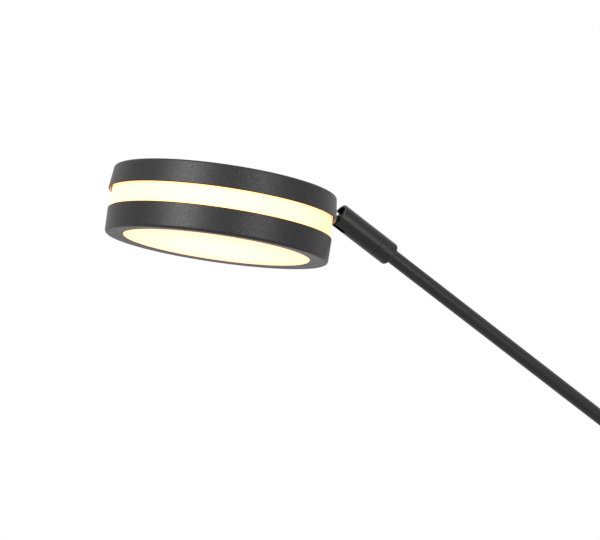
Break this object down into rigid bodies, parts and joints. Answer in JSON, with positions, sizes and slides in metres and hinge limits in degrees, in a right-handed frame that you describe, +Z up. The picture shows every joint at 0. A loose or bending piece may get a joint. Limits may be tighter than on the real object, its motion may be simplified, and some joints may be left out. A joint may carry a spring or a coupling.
{
  "type": "floor lamp",
  "caption": "Black floor lamp: round weighted base, slim pole, tilting arm on a swivel and a round light head with a lit side band and a lit underside.",
  "frame": {"origin": "centre of the underside of the base, on the floor, on the pole's axis", "axes": "+Z up along the pole; the arm reaches towards -X at rest; the hinges of arm and head turn about Y"},
  "size_m": [0.6942, 0.24, 1.3722],
  "materials": {
    "powder_coat": "matt black powder coat with a fine sand texture",
    "opal_band": "satin opal acrylic, lit warm white",
    "opal_disc": "satin opal acrylic, lit warm white",
    "cast_weight": "raw casting",
    "zinc_steel": "bright zinc plate",
    "brass_bush": "turned",
    "black_plastic": "fine moulded grain",
    "white_plastic": "moulded",
    "bare_alloy": "bare die casting",
    "board_white": "white solder mask",
    "phosphor": "yellow phosphor",
    "soft_pad": "closed foam sheet"
  },
  "bodies": {
    "stand": {"base_pad": "soft_pad", "base_plate": "zinc_steel", "base_screws": "zinc_steel", "base_weight": "cast_weight", "base_cover": "powder_coat", "cord_gland": "black_plastic", "gland_nut": "black_plastic", "led_driver": "black_plastic", "switch_bezel": "black_plastic", "switch_nut": "black_plastic", "switch_body": "white_plastic", "pole_stud": "zinc_steel", "stud_nut": "zinc_steel", "stud_washer": "zinc_steel", "pole_plug": "brass_bush", "pole_collar": "powder_coat", "lower_pole": "powder_coat", "pole_coupler": "powder_coat", "upper_pole": "powder_coat", "top_plug": "brass_bush", "pole_swivel_stud": "zinc_steel"},
    "foot_button": {"switch_button": "black_plastic"},
    "pole_joint": {"pole_barrel": "powder_coat", "pole_bush": "brass_bush", "pole_spring_washer": "zinc_steel", "arm_pin": "zinc_steel", "arm_washers": "white_plastic"},
    "arm": {"arm_tongue": "powder_coat", "arm_rod": "powder_coat", "knuckle_collar": "powder_coat", "knuckle_stud": "zinc_steel"},
    "knuckle": {"knuckle_barrel": "powder_coat", "knuckle_bush": "brass_bush", "knuckle_spring_washer": "zinc_steel", "head_pin": "zinc_steel", "head_washers": "white_plastic"},
    "light_head": {"head_tongue": "powder_coat", "tongue_screws": "zinc_steel", "top_cap": "powder_coat", "cap_screws": "zinc_steel", "heat_sink": "bare_alloy", "lower_board": "board_white", "lower_leds": "phosphor", "side_strip": "board_white", "side_leds": "phosphor", "reflector": "white_plastic", "band_diffuser": "opal_band", "lower_ring": "powder_coat", "ring_screws": "zinc_steel", "bottom_diffuser": "opal_disc"}
  },
  "joints": [
    {"name": "button_press", "type": "slide", "parent": "stand", "child": "foot_button", "axis": [0, 0, -1], "range_m": [0, 0.003], "stiffness_N_per_m": 900, "springref_m": -0.002},
    {"name": "pole_swivel", "type": "hinge", "parent": "stand", "child": "pole_joint", "pos_m": [0, 0, 1.08], "axis": [0, 0, 1], "range_deg": [-145, 145]},
    {"name": "arm_tilt", "type": "hinge", "parent": "pole_joint", "child": "arm", "pos_m": [0, 0, 1.08], "axis": [0, 1, 0], "range_deg": [-32.8, 57.2]},
    {"name": "knuckle_twist", "type": "hinge", "parent": "arm", "child": "knuckle", "pos_m": [-0.38002, 0, 1.32491], "axis": [-0.8406, 0, 0.5417], "range_deg": [-145, 145]},
    {"name": "head_tilt", "type": "hinge", "parent": "knuckle", "child": "light_head", "pos_m": [-0.40347, 0, 1.34002], "axis": [0, 1, 0], "range_deg": [-56, 43]}
  ]
}
